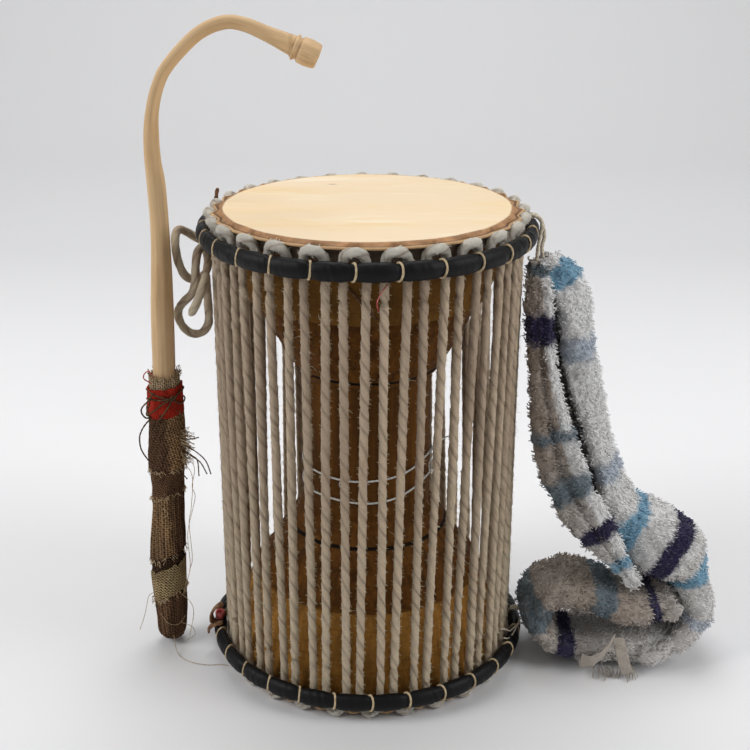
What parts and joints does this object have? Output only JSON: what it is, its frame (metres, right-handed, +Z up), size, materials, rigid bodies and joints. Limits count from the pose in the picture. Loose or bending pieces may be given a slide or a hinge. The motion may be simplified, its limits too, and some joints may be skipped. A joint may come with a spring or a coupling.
{
  "type": "hourglass talking drum",
  "caption": "Hourglass tension drum: carved hollow wooden shell, skin heads laced together by cord over padded hoops, with a hooked beater and a towelling shoulder strap",
  "frame": {"origin": "centre of the lower head's face, on the surface that the drum stands on", "axes": "+Z up along the drum's axis, -Y to the front, +X to the side that the strap hangs on, the beater at -X"},
  "size_m": [0.3841, 0.212, 0.4199],
  "materials": {
    "shell_wood": "carved and oiled, ochre bowls with a darker waist",
    "head_skin": "scraped goat skin, cream and slightly translucent",
    "black_padding": "tightly wrapped, matte black with a slight sheen",
    "cloth_cord": "twisted cotton strips, fuzzy",
    "white_thread": "thin cotton string",
    "beater_wood": "peeled branch, carved with a knife",
    "grip_cloth": "brown sacking wound in layers",
    "red_cloth": "matte red cloth",
    "towelling": "long worn terry pile, off-white with blue and navy bands",
    "pink_rag": "knotted rag",
    "brown_leather": "dry untreated hide"
  },
  "bodies": {
    "root": {"shell": "shell_wood", "upper_head": "head_skin", "lower_head": "head_skin", "upper_hoop": "black_padding", "lower_hoop": "black_padding", "tension_cord": "cloth_cord", "waist_thread_upper": "white_thread", "waist_thread_lower": "white_thread", "spare_cord": "cloth_cord", "beater_stick": "beater_wood", "beater_grip": "grip_cloth", "beater_grip_tie": "red_cloth", "towel_strap": "towelling", "strap_tie_upper": "white_thread", "strap_tie_lower": "white_thread", "rag_knot": "pink_rag", "thong_end": "brown_leather"}
  },
  "joints": []
}
